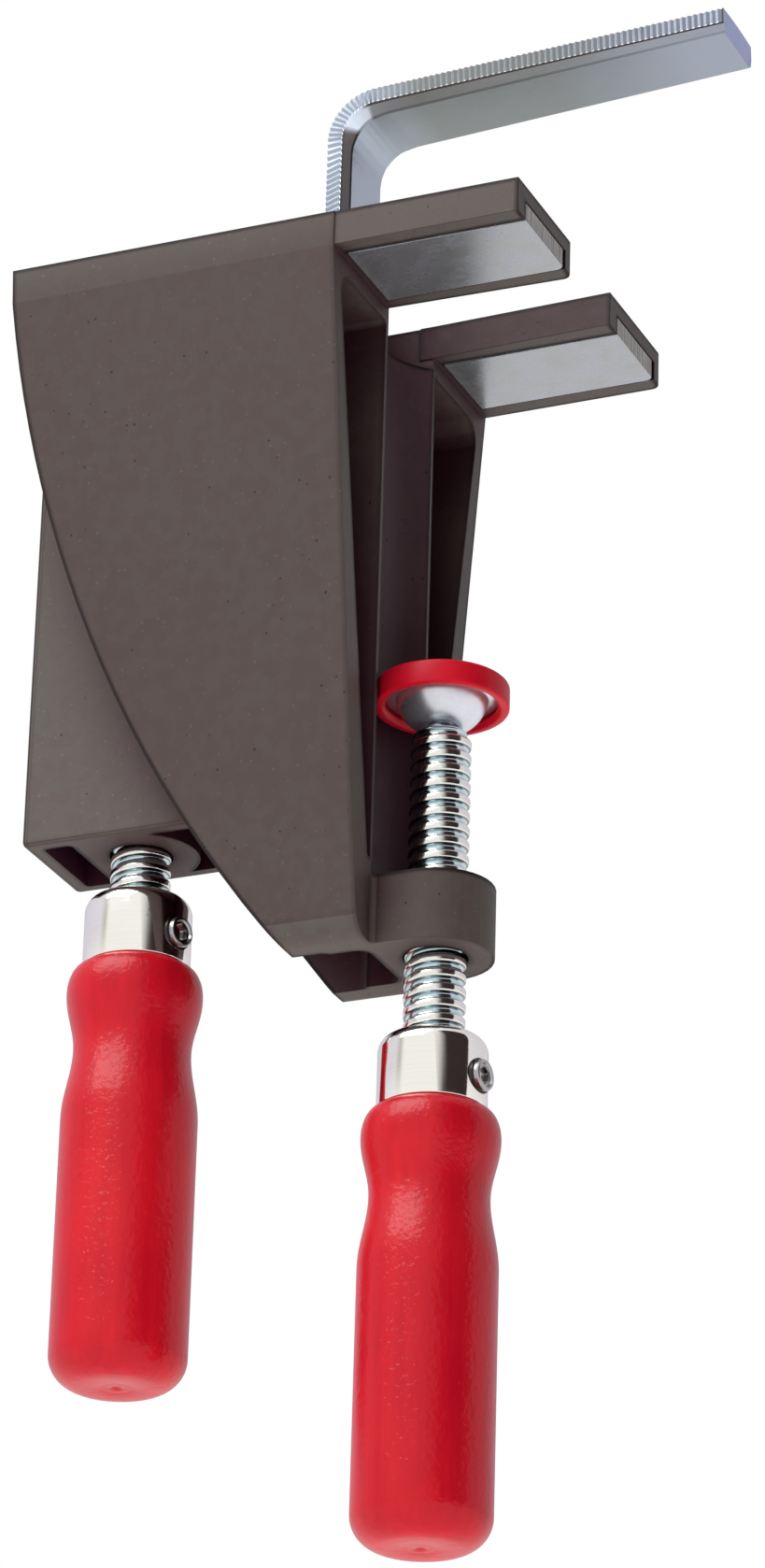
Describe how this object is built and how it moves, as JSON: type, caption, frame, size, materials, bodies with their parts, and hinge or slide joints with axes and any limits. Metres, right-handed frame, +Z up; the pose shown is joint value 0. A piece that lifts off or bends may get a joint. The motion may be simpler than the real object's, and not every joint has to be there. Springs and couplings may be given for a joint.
{
  "type": "window frame clamp",
  "caption": "Window frame clamp: cast V-shaped body with steel-faced jaw fingers, a hook raised by a spindle, and a clamping spindle with a swivel pad and turned grips.",
  "frame": {"origin": "on the clamping spindle's axis, level with the underside of the steel jaw inserts", "axes": "+Z up along both spindles towards the hook, +X the way the jaw fingers and the hook reach, Y = 0 the plane of symmetry"},
  "size_m": [0.1425, 0.0776, 0.3052],
  "materials": {
    "casting": "fine speckled powder coat",
    "insert_steel": "galvanised, ground face",
    "hook_zinc": "blue zinc plate",
    "spindle_zinc": "bright zinc plate",
    "bright_steel": "bright",
    "ferrule_nickel": "polished nickel plate",
    "pad_plastic": "soft red plastic",
    "grip_wood": "glossy red lacquer"
  },
  "bodies": {
    "frame": {"housing": "casting", "front_jaw_insert": "insert_steel", "rear_jaw_insert": "insert_steel"},
    "hook": {"hook_carriage": "casting", "hook_bar": "hook_zinc", "upper_hook_pin": "bright_steel", "lower_hook_pin": "bright_steel", "lower_thrust_washer": "bright_steel", "upper_thrust_washer": "bright_steel"},
    "lift_screw": {"lift_spindle": "spindle_zinc", "retaining_clip": "bright_steel", "lift_ferrule": "ferrule_nickel", "lift_set_screw": "bright_steel", "lift_handle": "grip_wood"},
    "pad_ball": {"ball_stud": "bright_steel"},
    "clamp_screw": {"clamp_spindle": "spindle_zinc", "clamp_ferrule": "ferrule_nickel", "clamp_set_screw": "bright_steel", "clamp_handle": "grip_wood"},
    "pad_ring": {"ball_ring": "bright_steel"},
    "pad": {"pad_plate": "bright_steel", "pad_cap": "pad_plastic"}
  },
  "joints": [
    {"name": "hook_lift", "type": "slide", "parent": "frame", "child": "hook", "axis": [0, 0, 1], "range_m": [-0.045, 0.005]},
    {"name": "lift_spin", "type": "hinge", "parent": "hook", "child": "lift_screw", "pos_m": [-0.0625, 0, 0], "axis": [0, 0, 1], "range_deg": [-5401, 601]},
    {"name": "clamp_feed", "type": "slide", "parent": "frame", "child": "pad_ball", "axis": [0, 0, 1], "range_m": [-0.032, 0.0125]},
    {"name": "clamp_spin", "type": "hinge", "parent": "pad_ball", "child": "clamp_screw", "pos_m": [0, 0, 0], "axis": [0, 0, 1], "range_deg": [-3841, 1501]},
    {"name": "pad_tilt_x", "type": "hinge", "parent": "pad_ball", "child": "pad_ring", "pos_m": [0, 0, -0.0838], "axis": [1, 0, 0], "range_deg": [-8, 8]},
    {"name": "pad_tilt_y", "type": "hinge", "parent": "pad_ring", "child": "pad", "pos_m": [0, 0, -0.0838], "axis": [0, 1, 0], "range_deg": [-8, 8]}
  ],
  "couplings": [
    {"joint": "lift_spin", "follows": "hook_lift", "rad_per_m": 2094.4},
    {"joint": "clamp_spin", "follows": "clamp_feed", "rad_per_m": 2094.4}
  ]
}
